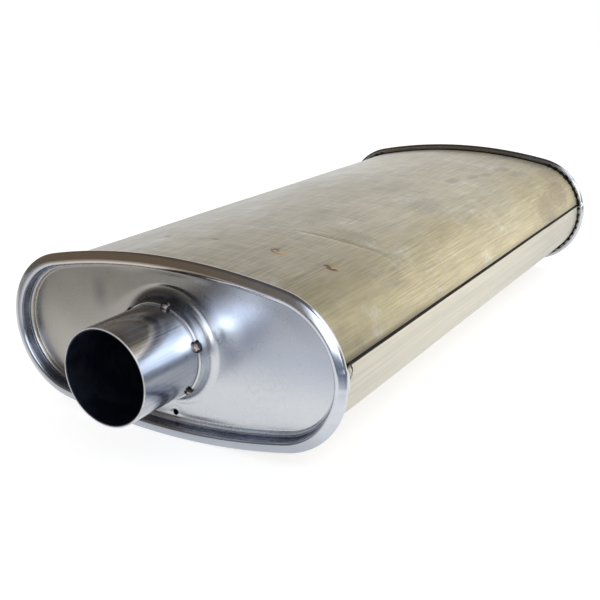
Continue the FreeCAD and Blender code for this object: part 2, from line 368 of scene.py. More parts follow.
def torus(name: str, grid: np.ndarray, materials: Sequence[bpy.types.Material],
          zones: Sequence[int] | np.ndarray, sharp: float = 32.0) -> Piece:
    """A closed skin from a grid that wraps round both ways.

    Args:
        name: Name of the piece.
        grid: Points in metres, one row for each station.
        materials: The piece's materials.
        zones: Material index of each step along a row, or of each face of the grid.
        sharp: Angle in degrees above which an edge is left sharp.

    Returns:
        The new object, at the origin.
    """
    rows, columns = grid.shape[:2]
    index = np.arange(rows * columns).reshape(rows, columns)
    after, below = np.roll(index, -1, axis=0), np.roll(index, -1, axis=1)
    corner = np.roll(below, -1, axis=0)
    faces = np.stack([index, below, corner, after], axis=-1).reshape(-1, 4)
    mesh = formed(name, grid.reshape(-1, 3).tolist(), faces.tolist())
    for material in materials:
        mesh.materials.append(material)
    indices = np.broadcast_to(np.asarray(zones, dtype=np.int32), (rows, columns))
    mesh.polygons.foreach_set("material_index", indices.ravel())
    work = bmesh.new()
    work.from_mesh(mesh)
    bmesh.ops.recalc_face_normals(work, faces=work.faces)
    work.to_mesh(mesh)
    work.free()
    mesh.shade_smooth()
    mesh.set_sharp_from_angle(angle=math.radians(sharp))
    return linked(name, mesh)


def baked(piece: Piece) -> Piece:
    """Replaces a piece's mesh by its evaluated one and drops its modifiers."""
    depsgraph = bpy.context.evaluated_depsgraph_get()
    plain = bpy.data.meshes.new_from_object(piece.evaluated_get(depsgraph), depsgraph=depsgraph)
    plain.name = piece.name
    piece.modifiers.clear()
    piece.data = plain
    return piece


def settle(piece: Piece, slot: str, *nodes: str) -> Piece:
    """Fixes a piece to the body and hides the solids that it stands for."""
    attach(piece, "root")
    if nodes:
        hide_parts(*nodes)
    return piece


# Node trees


class Value:
    """An output in a node tree that takes part in sums and products."""

    def __init__(self, graph: Graph, socket: bpy.types.NodeSocket) -> None:
        self.graph = graph
        self.socket = socket

    def __add__(self, other: object) -> Value:
        return self.graph.math("ADD", self, other)

    def __sub__(self, other: object) -> Value:
        return self.graph.math("SUBTRACT", self, other)

    def __rsub__(self, other: object) -> Value:
        return self.graph.math("SUBTRACT", other, self)

    def __mul__(self, other: object) -> Value:
        return self.graph.math("MULTIPLY", self, other)

    def __truediv__(self, other: object) -> Value:
        return self.graph.math("DIVIDE", self, other)

    def __abs__(self) -> Value:
        return self.graph.math("ABSOLUTE", self)

    __radd__ = __add__
    __rmul__ = __mul__

    def step(self, low: float, high: float, start: float = 0.0, end: float = 1.0) -> Value:
        """A soft step from start at low to end at high."""
        settings = {"interpolation_type": "SMOOTHSTEP"}
        return self.graph.out(self.graph.add("ShaderNodeMapRange", settings, self, low, high, start, end))

    def hump(self, middle: float, half: float) -> Value:
        """1 at middle, falling softly to 0 at half either side."""
        return abs(self - middle).step(0.0, half, 1.0, 0.0)

    def centred(self, strength: float) -> Value:
        """A noise brought about 0 and scaled."""
        return (self - 0.5) * strength

    def towards(self, axis: Vector) -> Value:
        """A direction's part along an axis."""
        node = self.graph.add("ShaderNodeVectorMath", {"operation": "DOT_PRODUCT"}, self, tuple(axis))
        return self.graph.out(node, "Value")

    def scaled(self, factor: object) -> Value:
        """A colour or vector multiplied by a factor."""
        node = self.graph.add("ShaderNodeVectorMath", {"operation": "SCALE"}, self, Scale=factor)
        return self.graph.out(node)


class Graph:
    """Short calls for building a node tree."""

    def __init__(self, tree: bpy.types.NodeTree) -> None:
        self.tree = tree
        tree.nodes.clear()

    @classmethod
    def of(cls, holder: bpy.types.Material | bpy.types.World) -> Graph:
        """The emptied tree of a material or world."""
        holder.use_nodes = True
        return cls(holder.node_tree)

    def add(self, kind: str, settings: dict | None = None, *placed: object,
            **named: object) -> bpy.types.Node:
        """Adds a node.

        Args:
            kind: The node's type.
            settings: Values for the node's own fields.
            *placed: Values or outputs for its inputs, in their order.
            **named: The same by the inputs' names, with underscores for spaces.

        Returns:
            The new node.
        """
        node = self.tree.nodes.new(kind)
        for key, value in (settings or {}).items():
            setattr(node, key, value)
        for socket, value in zip(node.inputs, placed):
            self.feed(socket, value)
        for key, value in named.items():
            self.feed(node.inputs[key.replace("_", " ")], value)
        return node

    def out(self, node: bpy.types.Node, key: int | str = 0) -> Value:
        """An output of a node."""
        return Value(self, node.outputs[key])

    def feed(self, socket: bpy.types.NodeSocket, value: object) -> None:
        """Links or sets one input."""
        source = value.socket if isinstance(value, Value) else value
        if isinstance(source, bpy.types.NodeSocket):
            self.tree.links.new(source, socket)
        elif isinstance(source, tuple) and socket.type == "RGBA":
            socket.default_value = (*source, 1.0)
        else:
            socket.default_value = source

    def math(self, operation: str, first: object, second: object = 0.0) -> Value:
        """One arithmetic step."""
        return self.out(self.add("ShaderNodeMath", {"operation": operation}, first, second))

    def mix(self, share: object, first: object, second: object) -> Value:
        """A mix of two colours."""
        node = self.add("ShaderNodeMix", {"data_type": "RGBA"}, share)
        self.feed(node.inputs[6], first)
        self.feed(node.inputs[7], second)
        return self.out(node, 2)

    def layered(self, colour: object, layers: Sequence[tuple[Value, Colour]]) -> Value:
        """A colour with others laid over it, each by its own share."""
        for share, tone in layers:
            colour = self.mix(share, colour, tone)
        return colour

    def noise(self, place: object, scale: float, detail: float, roughness: float) -> Value:
        """Noise between 0 and 1."""
        values = {"Scale": scale, "Detail": detail, "Roughness": roughness}
        return self.out(self.add("ShaderNodeTexNoise", Vector=place, **values))

    def streaks(self, place: Value, across: float, along: float, detail: float, roughness: float) -> Value:
        """Noise drawn out along the body, or round it, by its scales in x and z and in y."""
        settings = {"operation": "MULTIPLY"}
        drawn = self.out(self.add("ShaderNodeVectorMath", settings, place, (across, along, across)))
        return self.noise(drawn, 1.0, detail, roughness)

    def axes(self, vector: Value) -> list[Value]:
        """The x, y and z of a vector."""
        parts = self.add("ShaderNodeSeparateXYZ", Vector=vector).outputs[:3]
        return [Value(self, part) for part in parts]


Look = tuple[Value, object, Value]


@dataclass(frozen=True)
class Finish:
    """A metal finish. Each kind adds its own colour in paint."""

    name: str
    roughness: float = 0.35
    metallic: float = 1.0
    bump_distance: float = 0.00004

    def material(self) -> bpy.types.Material:
        """Builds the finish as a material."""
        made = bpy.data.materials.new(self.name)
        graph = Graph.of(made)
        place = graph.out(graph.add("ShaderNodeTexCoord"), "Object")
        colour, rough, relief = self.paint(graph, place, *graph.axes(place))
        normal = graph.add("ShaderNodeBump", Height=relief, Distance=self.bump_distance, Strength=1.0)
        shader = graph.add(
            "ShaderNodeBsdfPrincipled",
            Base_Color=colour,
            Metallic=self.metallic,
            Roughness=rough,
            Normal=normal.outputs[0],
        )
        graph.add("ShaderNodeOutputMaterial", Surface=shader.outputs[0])
        return made

    def paint(self, graph: Graph, place: Value, x: Value, y: Value, z: Value) -> Look:
        """The finish itself.

        Args:
            graph: The material's tree.
            place: Object coordinates.
            x: Their x.
            y: Their y.
            z: Their z.

        Returns:
            Colour, roughness and relief.
        """
        raise NotImplementedError


@dataclass(frozen=True)
class StainAndShade:
    """A soft, ragged mark on the upper side, by its place and half sizes in millimetres. Most are rust and
    smears; a few are painted shade in the weld dimples and along the crease.
    """

    x: float
    depth: float
    half_across: float
    half_along: float
    strength: float
    tone: Colour
    fraying: float = 2.6

    def mask(self, x: Value, y: Value, ragged: Value) -> Value:
        """How much the mark covers, by object coordinates and a noise that frays its edge."""
        across = (x - self.x * MM) / (self.half_across * MM)
        along = (y - (self.depth - Body().length / 2) * MM) / (self.half_along * MM)
        squares = across * across + along * along
        return (squares + ragged.centred(self.fraying)).step(0.3, 1.1, self.strength, 0.0)


RUST = (0.36, 0.16, 0.06)
DARK_RUST = (0.18, 0.075, 0.025)
TAN = (0.60, 0.41, 0.18)
STRAW = (0.54, 0.45, 0.21)
SHADE_GREY = (0.17, 0.16, 0.14)
SLATE = (0.25, 0.24, 0.20)
UMBER = (0.30, 0.205, 0.15)


@dataclass(frozen=True)
class ShellFinish(Finish):
    """Aluminised sheet: satin, with short strokes along the body, scuffs, a few rusty weld marks and painted
    light and shade.
    """

    pale: Colour = (0.60, 0.60, 0.57)
    olive: Colour = (0.46, 0.425, 0.34)
    khaki: Colour = (0.45, 0.395, 0.255)
    low_side_reflection: Colour = (0.735, 0.70, 0.59)
    scuffed: Colour = (0.60, 0.60, 0.58)
    rubbed: Colour = (0.33, 0.315, 0.27)
    seam_shade: Colour = (0.15, 0.125, 0.07)
    stains_and_shade: tuple[StainAndShade, ...] = (
        StainAndShade(50.4, 344.5, 6.0, 14.0, 0.42, SLATE),
        StainAndShade(58.1, 375.3, 5.0, 12.0, 0.45, SLATE),
        StainAndShade(63.6, 393.7, 5.0, 10.0, 0.42, SLATE),
        StainAndShade(65.0, 430.5, 7.0, 12.0, 0.40, SLATE),
        StainAndShade(83.1, 428.9, 8.0, 16.0, 0.28, SLATE),
        StainAndShade(65.7, 251.1, 15.0, 26.0, 0.34, SLATE),
        StainAndShade(22.0, 282.4, 16.0, 30.0, 0.22, SLATE),
        StainAndShade(63.7, 133.0, 19.0, 14.0, 0.34, SLATE),
        StainAndShade(28.0, 172.0, 24.0, 20.0, 0.20, SLATE),
        StainAndShade(114.0, 448.0, 9.0, 26.0, 0.45, UMBER),
        StainAndShade(117.5, 405.0, 7.0, 30.0, 0.40, UMBER),
        StainAndShade(104.0, 462.0, 14.0, 18.0, 0.30, UMBER),
        StainAndShade(45.9, 68.7, 6.4, 5.2, 0.70, TAN),
        StainAndShade(40.4, 70.2, 3.6, 3.6, 1.0, DARK_RUST),
        StainAndShade(40.9, 70.4, 2.1, 2.1, 0.9, (0.58, 0.50, 0.38)),
        StainAndShade(45.0, 65.6, 4.6, 1.2, 0.8, RUST),
        StainAndShade(83.4, 73.0, 5.6, 4.6, 0.75, STRAW),
        StainAndShade(76.4, 66.6, 4.2, 2.6, 0.55, (0.46, 0.29, 0.22)),
        StainAndShade(79.0, 70.0, 3.4, 2.2, 1.0, DARK_RUST),
        StainAndShade(84.2, 67.2, 4.4, 2.2, 1.0, DARK_RUST),
        # Painted shade in two spot-weld dimples
        StainAndShade(-47.7, 71.5, 3.6, 2.8, 0.6, SHADE_GREY),
        StainAndShade(-7.2, 71.5, 3.6, 2.6, 0.5, SHADE_GREY),
        # Painted shade along the crease: a tan band and a dark line
        StainAndShade(85.0, 119.8, 24.0, 2.2, 0.45, (0.44, 0.35, 0.22)),
        StainAndShade(48.0, 118.8, 30.0, 0.9, 0.6, SHADE_GREY),
    )

    def paint(self, graph: Graph, place: Value, x: Value, y: Value, z: Value) -> Look:
        """Colour drifts from pale at the left to khaki at the right, partly the sheet's own tone and partly
        painted shade towards the right, with strokes and scuffs over it.
        """
        broad = graph.noise(place, 9.0, 3.0, 0.6)
        scuff = graph.noise(place, 24.0, 5.0, 0.7).step(0.52, 0.68)
        worn = graph.streaks(place, 44.0, 16.0, 5.0, 0.7).step(0.56, 0.72)
        dash = graph.streaks(place, 1000.0, 46.0, 2.0, 0.6)
        cross = graph.streaks(place, 34.0, 620.0, 2.0, 0.5)
        # The side below the seam, which gets a painted reflection of the pale floor, and all the rest
        under = x.step(0.09, 0.115) * z.step(0.0672, 0.0655)
        above = 1.0 - under * 0.85
        drift = x + broad.centred(0.12)
        colour = graph.layered(self.pale, [
            (drift.step(-0.11, 0.03), self.olive),
            (drift.step(0.05, 0.12), self.khaki),
            (under, self.low_side_reflection),
            (scuff * above * 0.40, self.scuffed),
            (worn * above * 0.42, self.rubbed),
        ])
        colour = colour.scaled(self.shade(graph, place, (x, y, z), (dash, cross), (under, above)))
        top = z.step(0.062, 0.068)
        ragged = graph.noise(place, 420.0, 3.0, 0.6)
        marks = [(stain_and_shade.mask(x, y, ragged) * top, stain_and_shade.tone) for stain_and_shade in self.stains_and_shade]
        colour = graph.layered(colour, marks)
        # Painted shade in a narrow band above the seam, stronger towards the near rim
        beside_seam = z.step(0.0735, 0.0685) * z.step(0.0665, 0.0675) * x.step(0.10, 0.115)
        colour = graph.mix(beside_seam * y.step(-0.05, -0.21, 0.35, 0.95), colour, self.seam_shade)
        return colour, self.roughness + dash.centred(0.25), dash + cross * 0.5

    @staticmethod
    def shade(graph: Graph, place: Value, axes: tuple[Value, Value, Value],
              strokes: tuple[Value, Value], sides: tuple[Value, Value]) -> Value:
        """How light or dark the sheet is, as a factor about 1: its own strokes and patches, with painted
        light and shade over them.

        Args:
            graph: The material's tree.
            place: Object coordinates.
            axes: Their x, y and z.
            strokes: Noise along the body and round it.
            sides: Masks of the side below the seam and of all the rest.

        Returns:
            The factor.
        """
        (x, y, z), (dash, cross), (under, above) = axes, strokes, sides
        hair = graph.streaks(place, 1700.0, 26.0, 1.0, 0.5)
        line = graph.streaks(place, 400.0, 7.0, 2.0, 0.5)
        patch = graph.streaks(place, 70.0, 34.0, 4.0, 0.65)
        # Strokes are weaker at the left and beside the near rim's right end
        calm = x.step(0.075, 0.105) * y.step(-0.13, -0.19) * 0.6
        right = x.step(-0.06, 0.09, 0.45, 1.0) * (1.0 - calm)
        stroke = dash.centred(0.70) + hair.step(0.58, 0.66, 0.0, 0.22) - hair.step(0.40, 0.32, 0.0, 0.22)
        shade = 1.0 + stroke * right * above + line.centred(0.36)
        # Painted shade on the side below the seam, deeper towards the far end
        shade -= under * y.step(0.0, 0.2) * 0.16
        shade += patch.centred(0.55) * above
        # Painted shade on the rounded right edge right behind the near rim, and painted light past it
        edge = z.step(0.092, 0.074) * x.step(0.10, 0.112) * above
        shade += edge * y.step(-0.22, -0.16, 0.0, 0.12)
        shade -= edge * y.step(-0.19, -0.235) * 0.22
        # Painted light: a paler area halfway along at the right, and another far off at the left
        halfway = y.step(-0.24, -0.05, -0.04, 0.30) * y.step(0.06, 0.20, 1.0, 0.35) * above
        shade += halfway * x.step(-0.02, 0.08)
        shade += y.step(0.02, 0.16) * x.step(0.08, -0.02) * 0.14
        return shade + cross.centred(0.75) * x.step(-0.11, -0.02) * x.step(0.10, 0.03)


@dataclass(frozen=True)
class CapFinish(Finish):
    """Stamped bare steel, mottled, with a painted reflection that runs from warmer at the left to bluer at
    the right.

    With marks it is the plate's own finish, most of them painted reflections, and without them the rim's,
    which gets painted reflections on its top and bottom.
    """

    warm: Colour = (0.42, 0.40, 0.37)
    cool: Colour = (0.62, 0.64, 0.67)
    mottle: float = 0.10
    marks: float = 0.0

    def paint(self, graph: Graph, place: Value, x: Value, y: Value, z: Value) -> Look:
        """A painted reflection drifts across the cap under a fine mottle."""
        broad = graph.noise(place, 14.0, 3.0, 0.6)
        grain = graph.noise(place, 500.0, 2.0, 0.5)
        spots = graph.noise(place, 90.0, 2.0, 0.55)
        lean = x - (z - 0.06) * 0.9 + broad.centred(0.06)
        colour = graph.mix(lean.step(-0.075, 0.06), self.warm, self.cool)
        colour = colour.scaled(1.0 + spots.centred(self.mottle))
        # Marks of the inlet end's plate, by their places in x and z: painted reflections, with a real smudge
        # and a speckled patch
        front = y.step(0.0, -0.1, 0.0, self.marks)
        drop = z - Body().centre_height * MM
        away = graph.math("SQRT", x * x + drop * drop)
        # Painted shade: a dark blue reflection on the plate's upper right, clear of the collar
        blue = x.step(0.012, 0.045) * z.step(0.036, 0.068) * front * 0.75 * away.step(0.034, 0.044)
        # Painted highlight: a bright reflection up and right of the neck
        bright = x.hump(0.0446, 0.017) * z.hump(0.0755, 0.015) * front * 0.9
        smudge = x.hump(-0.0562, 0.0100) * z.hump(0.0868, 0.0160) * front * 0.7
        speckle = graph.noise(place, 330.0, 2.0, 0.5).step(0.42, 0.66)
        speckled = x.hump(0.070, 0.034) * z.hump(0.046, 0.028) * speckle * front * 0.25
        # Painted shade: a dark reflection in a crescent on the collar's top
        crescent = away.step(0.041, 0.034) * z.step(0.074, 0.084) * front * 0.75
        # Painted reflections on the rims: brown on top, and painted shade in blue-grey below
        rim_top = z.step(0.098, 0.110) * x.step(0.085, 0.02) * (1.0 - self.marks)
        rim_low = z.step(0.040, 0.012) * (1.0 - self.marks) * 0.8
        colour = graph.layered(colour, [
            (blue, (0.40, 0.435, 0.52)),
            (bright, (0.93, 0.97, 1.0)),
            (smudge, (0.24, 0.23, 0.235)),
            (speckled, (0.44, 0.45, 0.45)),
            (crescent, (0.09, 0.095, 0.12)),
            (rim_top, (0.54, 0.48, 0.41)),
            (rim_low, (0.36, 0.39, 0.44)),
        ])
        # Painted shade: the far cap darker along its top
        far = graph.math("MAXIMUM", y.step(0.1, 0.22, 1.0, 0.52), z.step(0.100, 0.085))
        return colour.scaled(far), self.roughness + spots.centred(0.12), grain * 0.1 + broad * 8.0


@dataclass(frozen=True)
class NeckFinish(Finish):
    """Drawn tube: glossy, streaked along its length, with a faint heat tint near the mouth, painted shade
    below and a painted highlight band.
    """

    base: Colour = (0.66, 0.665, 0.68)
    tint: Colour = (0.46, 0.36, 0.24)

    def paint(self, graph: Graph, place: Value, x: Value, y: Value, z: Value) -> Look:
        """Streaks along the tube, a brown tint on top towards the mouth, painted shade below and a painted
        highlight band at the right.
        """
        fine = graph.streaks(place, 700.0, 6.0, 3.0, 0.6)
        broad = graph.noise(place, 30.0, 3.0, 0.6)
        out = abs(y)
        mouth = out.step(0.262, 0.292) * z.step(0.066, 0.088) * broad.step(0.3, 0.6) * 0.8
        collar = z.step(0.070, 0.086) * out.step(0.275, 0.258) * 0.45
        # Painted shade on the lower side
        below = z.step(0.070, 0.056) * x.step(-0.04, 0.0) * 0.7
        # Painted highlight: a bright band at the right
        shine = z.hump(0.0725, 0.0065) * x.step(0.0, 0.012) * 0.6
        colour = graph.layered(self.base, [
            (mouth, self.tint),
            (collar, (0.22, 0.25, 0.32)),
            (below, (0.32, 0.34, 0.40)),
            (shine, (0.90, 0.94, 1.0)),
        ])
        scratch = z.hump(0.0812, 0.0005) * x.step(0.0, 0.01) * y.step(-0.283, -0.276)
        shade = 1.0 + fine.centred(0.65) - scratch * 0.45
        return colour.scaled(shade), self.roughness + fine.centred(0.12), fine


@dataclass(frozen=True)
class PlainFinish(Finish):
    """One metal colour with a little grain and mottle."""

    base: Colour = (0.5, 0.5, 0.5)
    dark: Colour = (0.3, 0.3, 0.3)
    scale: float = 60.0
    grain_ratio: float = 9.0

    def paint(self, graph: Graph, place: Value, x: Value, y: Value, z: Value) -> Look:
        """Two tones mixed by noise."""
        patches = graph.noise(place, self.scale, 4.0, 0.65)
        grain = graph.noise(place, self.scale * self.grain_ratio, 2.0, 0.5)
        colour = graph.mix(patches.step(0.35, 0.65), self.dark, self.base)
        return colour, self.roughness + grain.centred(0.15), patches + grain


def mixed() -> Palette:
    """The materials that the pieces share, by short names."""
    rim_tones = {"warm": (0.46, 0.47, 0.50), "cool": (0.60, 0.62, 0.67)}
    lumps, fine = 0.0003, 420.0
    mauve, black = (0.34, 0.29, 0.28), (0.015, 0.015, 0.015)
    finishes = {
        "shell": ShellFinish("shell_steel_finish", 0.45, 0.55),
        "plate": CapFinish("cap_plate_finish", 0.28, 1.0, 0.000005, marks=1.0),
        "rim": CapFinish("cap_rim_finish", 0.19, 1.0, 0.000006, mottle=0.3, **rim_tones),
        # The step's inner wall gets a darker blue finish as painted shade
        "wall": PlainFinish("cap_wall_shade_finish", 0.25, 1.0, 0.000005, (0.24, 0.26, 0.32), (0.15, 0.165, 0.21)),
        "neck": NeckFinish("neck_steel_finish", 0.17, 1.0, 0.00003),
        # Dull dark steel inside the neck, painted near black also for the shade deep in the tube
        "bore": PlainFinish("neck_bore_finish", 0.5, base=(0.07, 0.08, 0.12), dark=(0.03, 0.04, 0.07)),
        "cut": PlainFinish("cut_edge_finish", 0.35, 0.7, 0.00001, (0.70, 0.70, 0.70), (0.56, 0.56, 0.56)),
        # Near-black painted shade for the crimp gaps, the seam's groove, the crimp ticks and the burr's bed
        "gap": PlainFinish("gap_shade_finish", 0.8, 0.0, base=(0.030, 0.024, 0.018), dark=(0.012, 0.011, 0.010)),
        "weld": PlainFinish("weld_metal_finish", 0.38, 1.0, lumps, (0.66, 0.58, 0.56), mauve, fine),
        "burn": PlainFinish("weld_burn_finish", 0.45, 1.0, lumps, (0.10, 0.09, 0.085), black, fine),
        "core": PlainFinish("core_steel_finish", 0.5, base=(0.40, 0.38, 0.35), dark=(0.24, 0.22, 0.20)),
    }
    return {word: finish.material() for word, finish in finishes.items()}


# Pieces


@dataclass(frozen=True)
class Shell:
    """The wrapped shell with its lock seam, spot-weld dimples and crease."""

    body: Body
    seam_first: float = 5.2
    seam_fade: float = 2.5
    dimple_places: tuple[float, ...] = (-47.7, -7.2, 42.0, 81.2)
    dimple_depth: float = 0.45
    dimple_radius: float = 4.0
    dimple_line: float = 71.5
    crease_line: float = 119.0
    fold_radius: float = 1.9
    shoulder_radius: float = 2.2
    gap_half: float = 1.1
    crimp_depth: float = 5.9
    side_crimp: float = 6.8
    notch_depth: float = 20.0
    notch_share: float = 0.5
    lip_steps: int = 6
    slit: float = 0.05
    strip_rise: float = 0.12
    strip_edge: float = 0.10
    dish_depth: float = 0.18
    dish_radius: float = 9.0
    crease_rise: float = 0.10
    crease_depth: float = 0.22
    crease_slant: float = 0.03
    sharp: float = 40.0
    spacing: float = 2.6
    ends: tuple[float, ...] = (4.2, 4.8, 5.2, 5.6, 6.2, 7.0, 8.0, 9.2, 11.0, 13.5, 17.0)
    stretches: tuple[Triple, ...] = (
        (22.0, 64.0, 7.0),
        (64.0, 79.0, 1.0),
        (80.0, 110.0, 5.0),
        (110.0, 129.0, 1.2),
        (130.0, 476.0, 7.5),
    )

    def ring(self) -> Ring:
        """Stations round the shell, close together at the seam."""
        lap = self.body.seam_lap
        fine = (Fine(0.0, 3.0, 0.22), Fine(-lap, 1.5, 0.3), Fine(-lap / 2, 6.5, 1.0))
        return Outline(self.body).walk(self.spacing, fine)

    def stations(self) -> np.ndarray:
        """Depths along the body, close together where the sheet is marked."""
        marks = [*self.ends, *(self.body.length - mark for mark in self.ends)]
        for first, last, step in self.stretches:
            marks += [*np.arange(first, last, step)]
        return np.array(sorted(marks))

    def groove(self, along: np.ndarray) -> np.ndarray:
        """How deep the seam's groove is at a distance above (+) or below (-) its line."""
        def edge(radius: float, away: np.ndarray) -> np.ndarray:
            """How deep a rounded edge lies at a distance from the groove."""
            inside = np.clip(radius + self.slit - away, 0, radius)
            return radius - np.sqrt(np.clip(radius**2 - inside**2, 0, None))

        return np.where(along < 0, edge(self.fold_radius, -along), edge(self.shoulder_radius, along))

    def relief(self, ring: Ring, depth: np.ndarray) -> np.ndarray:
        """Outward offset of each point of the skin from the plain oval."""
        along, x, z = ring.along[:, None], ring.x[:, None], ring.z[:, None]
        deep = depth[None, :]
        length, lap = self.body.length, self.body.seam_lap
        started = self.seam_first + self.seam_fade
        running = smooth(deep, self.seam_first, started) * smooth(length - deep, self.seam_first, started)
        # The lap below the groove stands a little proud and ends in a fine hollow
        strip = smooth(along, -lap - 0.4, -lap + 0.2) * (1 - smooth(along, -2.2, -1.6))
        offset = -self.groove(along) * running + self.strip_rise * strip * running
        offset -= self.strip_edge * bump(along, -lap - 0.5, 0.5) * running
        # Spot-weld dimples, each in a wider dish, on the upper and the lower face
        faces = smooth(z, 40.0, 46.0) + smooth(-z, 40.0, 46.0)
        for place in self.dimple_places:
            away = np.hypot(x - place, deep - self.dimple_line)
            offset -= self.dimple_depth * (1 - smooth(away, 0.0, self.dimple_radius)) * faces
            offset -= self.dish_depth * bump(away, 0.0, self.dish_radius) * faces
        # A crease across the right half of the top, with a low crest behind it
        creased = smooth(x, 15.0, 45.0) * (1 - smooth(x, 100.0, 116.0)) * smooth(z, 0.0, 20.0)
        slope = deep - (self.crease_line + self.crease_slant * (x - 60.0))
        crest, fold = self.crease_rise * bump(slope, 5.0, 3.0), self.crease_depth * bump(slope, 0.0, 2.6)
        offset += (crest - fold) * creased
        # Slow waves of the wrapped sheet, which fade out towards the rims
        ease = smooth(deep, 8.0, 60.0) * smooth(length - deep, 8.0, 60.0)
        waves = 0.16 * np.sin(x / 21.0 + deep / 83.0) * np.sin(deep / 47.0 + 1.3)
        waves += 0.10 * np.sin(x / 12.0 - deep / 61.0 + 0.6)
        return offset + waves * ease * (np.abs(z) > 0)

    def build(self, palette: Palette) -> Piece:
        """Makes the shell and lets it stand for its solid."""
        body = self.body
        length = body.length
        ring = self.ring()
        depth = self.stations()
        round_once = np.ones_like(ring.x)
        lip_in = [(stand * round_once, deep) for stand, deep in self.lip(body.lip_bend)]
        lip_under = [(stand * round_once, deep) for stand, deep in self.lip(body.lip_bend + body.shell_sheet)]
        notch = -body.shell_sheet - self.groove(ring.along) * self.notch_share
        rows = [*lip_in, *zip(self.relief(ring, depth).T, depth)]
        rows += [(stand, length - deep) for stand, deep in (*reversed(lip_in), *lip_under)]
        rows += [(notch, length - self.notch_depth), (notch, self.notch_depth), *reversed(lip_under)]
        reach = np.stack([stand for stand, _ in rows], axis=1)
        deep = np.broadcast_to(np.array([depth for _, depth in rows])[None, :], reach.shape)
        # Painted shade: the near-black gap finish on the shell under and just past each rim, and in the
        # seam's groove
        crimp = np.where(np.abs(ring.x) > body.side_start, self.side_crimp, self.crimp_depth)[:, None]
        crimp_shade = (deep < crimp) | (deep > length - crimp)
        grooved = (deep > self.seam_first) & (deep < length - self.seam_first)
        groove_shade = (np.abs(ring.along)[:, None] < self.gap_half) & grooved
        x = ring.x[:, None] + ring.out_x[:, None] * reach
        z = ring.z[:, None] + ring.out_z[:, None] * reach
        grid = body.world(x, deep, z, End.INLET)
        piece = torus("shell_skin", grid, [palette["shell"], palette["gap"]], crimp_shade | groove_shade, self.sharp)
        return settle(piece, "shell_steel", "outer_shell")

    def lip(self, radius: float) -> Spots:
        """One side of the lip, as outward offset and depth, from its tip to where it meets the wall."""
        body = self.body
        (inwards, depth), stand = body.lip_corner, body.rim_stand
        tip = body.on_flange(radius, body.flange_length)
        spots = [(stand - tip[0], tip[1])]
        sweep = math.pi / 2 + body.lean
        for step in range(self.lip_steps + 1):
            angle = -sweep + step * sweep / self.lip_steps
            spots.append((stand - inwards - radius * math.cos(angle), depth + radius * math.sin(angle)))
        return spots


@dataclass(frozen=True)
class Fitting:
    """A piece at one end of the body, about the axis of that end's neck."""

    body: Body
    end: End
    place: float

    @property
    def word(self) -> str:
        """The end's name, which starts the names of its pieces and nodes."""
        return self.end.name.lower()


